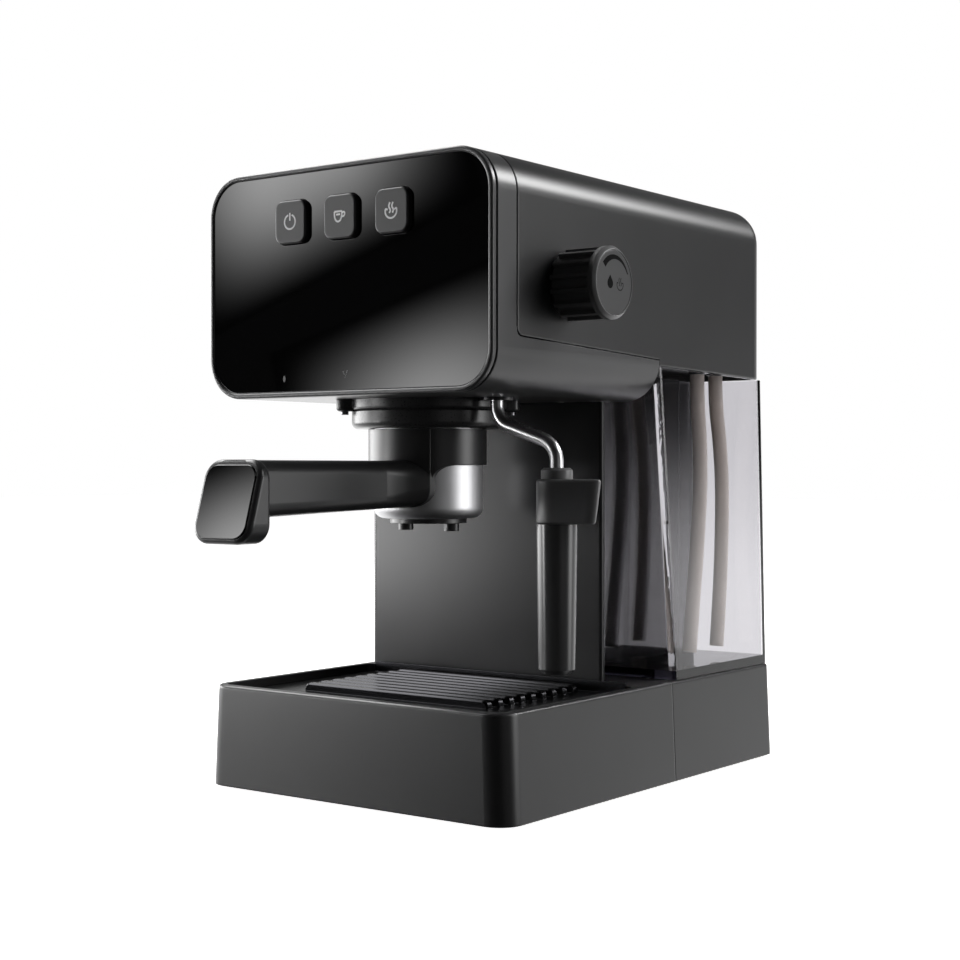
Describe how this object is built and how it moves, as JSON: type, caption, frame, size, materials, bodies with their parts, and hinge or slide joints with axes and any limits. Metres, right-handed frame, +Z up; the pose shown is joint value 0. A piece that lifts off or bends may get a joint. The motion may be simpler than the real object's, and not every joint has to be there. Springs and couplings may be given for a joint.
{
  "type": "espresso machine",
  "caption": "Compact pump espresso machine with a push-button front, bayonet filter holder, swinging steam wand, side steam knob, slide-out water tank and drip tray.",
  "frame": {"origin": "on the table, under the middle of the base", "axes": "+X to the user's right, +Y to the rear, +Z up; the front panel faces -Y"},
  "size_m": [0.2292, 0.3724, 0.3343],
  "materials": {
    "charcoal_plastic": "satin moulded",
    "collar_plastic": "satin moulded",
    "bezel_plastic": "satin moulded",
    "gloss_black": "high gloss",
    "button_plastic": "fine satin",
    "cap_plastic": "fine satin",
    "black_plastic": "satin moulded",
    "smoke_clear": "clear smoke tint moulded plastic",
    "cast_aluminium": "satin cast and turned",
    "bright_steel": "polished",
    "sheet_steel": "satin sheet",
    "dark_steel": "dark satin coat",
    "screw_steel": "plated",
    "valve_brass": "turned",
    "silicone": "milky translucent",
    "black_rubber": "matt",
    "board_green": "laminate",
    "coil_resin": "moulded"
  },
  "bodies": {
    "machine_body": {"base_plate": "black_plastic", "rear_base": "charcoal_plastic", "feet": "black_rubber", "base_screws": "screw_steel", "cord_gland": "black_rubber", "column_housing": "charcoal_plastic", "rear_cover": "charcoal_plastic", "cover_screws": "screw_steel", "head_housing": "collar_plastic", "top_cover": "charcoal_plastic", "mid_deck": "black_plastic", "front_bezel": "bezel_plastic", "front_panel": "gloss_black", "control_board": "board_green", "switches": "black_plastic", "knob_bush": "black_plastic", "steam_valve": "valve_brass", "steam_feed_pipe": "sheet_steel", "valve_outlet_pipe": "sheet_steel", "group_flange": "cast_aluminium", "flange_screws": "screw_steel", "bayonet_ring": "cast_aluminium", "group_gasket": "black_rubber", "shower_screen": "sheet_steel", "shower_screw": "screw_steel", "wand_bush": "black_plastic", "boiler_body": "cast_aluminium", "boiler_lid": "cast_aluminium", "boiler_bolts": "screw_steel", "heating_element": "sheet_steel", "thermostats": "black_plastic", "pump_body": "black_plastic", "pump_coil": "coil_resin", "pump_mounts": "black_rubber", "pump_bracket": "sheet_steel", "inlet_pipe": "black_plastic", "pressure_pipe": "sheet_steel", "suction_hose": "silicone", "return_hose": "silicone"},
    "power_button": {"power_button": "button_plastic"},
    "brew_button": {"brew_button": "button_plastic"},
    "steam_button": {"steam_button": "button_plastic"},
    "steam_knob": {"steam_knob": "black_plastic", "knob_cap": "cap_plastic", "valve_spindle": "screw_steel"},
    "steam_wand": {"steam_pipe": "bright_steel", "wand_nut": "black_plastic", "froth_grip": "black_plastic", "froth_sleeve": "gloss_black"},
    "portafilter": {"portafilter_cup": "cast_aluminium", "filter_basket": "sheet_steel", "spout_block": "black_plastic", "portafilter_handle": "black_plastic", "handle_insert": "gloss_black"},
    "drip_tray": {"drip_tray": "charcoal_plastic"},
    "drip_grid": {"drip_grid": "dark_steel"},
    "water_tank": {"water_tank": "smoke_clear"}
  },
  "joints": [
    {"name": "power_button_press", "type": "slide", "parent": "machine_body", "child": "power_button", "axis": [0, 1, 0], "range_m": [0, 0.002], "stiffness_N_per_m": 350, "springref_m": -0.002},
    {"name": "brew_button_press", "type": "slide", "parent": "machine_body", "child": "brew_button", "axis": [0, 1, 0], "range_m": [0, 0.002], "stiffness_N_per_m": 350, "springref_m": -0.002},
    {"name": "steam_button_press", "type": "slide", "parent": "machine_body", "child": "steam_button", "axis": [0, 1, 0], "range_m": [0, 0.002], "stiffness_N_per_m": 350, "springref_m": -0.002},
    {"name": "steam_knob_turn", "type": "hinge", "parent": "machine_body", "child": "steam_knob", "pos_m": [0.1264, -0.0816, 0.2693], "axis": [1, 0, 0], "range_deg": [0, 180]},
    {"name": "wand_swing", "type": "hinge", "parent": "machine_body", "child": "steam_wand", "pos_m": [0.0516, -0.0791, 0.2136], "axis": [0, 0, 1], "range_deg": [-75, 35]},
    {"name": "portafilter_turn", "type": "hinge", "parent": "machine_body", "child": "portafilter", "pos_m": [0, -0.0723, 0.2071], "axis": [0, 0, 1], "range_deg": [-30, 0]},
    {"name": "drip_tray_slide", "type": "slide", "parent": "machine_body", "child": "drip_tray", "axis": [0, -1, 0], "range_m": [0, 0.15]},
    {"name": "drip_grid_lift", "type": "slide", "parent": "drip_tray", "child": "drip_grid", "axis": [0, 0, 1], "range_m": [0, 0.01]},
    {"name": "water_tank_slide", "type": "slide", "parent": "machine_body", "child": "water_tank", "axis": [1, 0, 0], "range_m": [0, 0.08], "deforming": ["suction_hose", "return_hose"]}
  ]
}
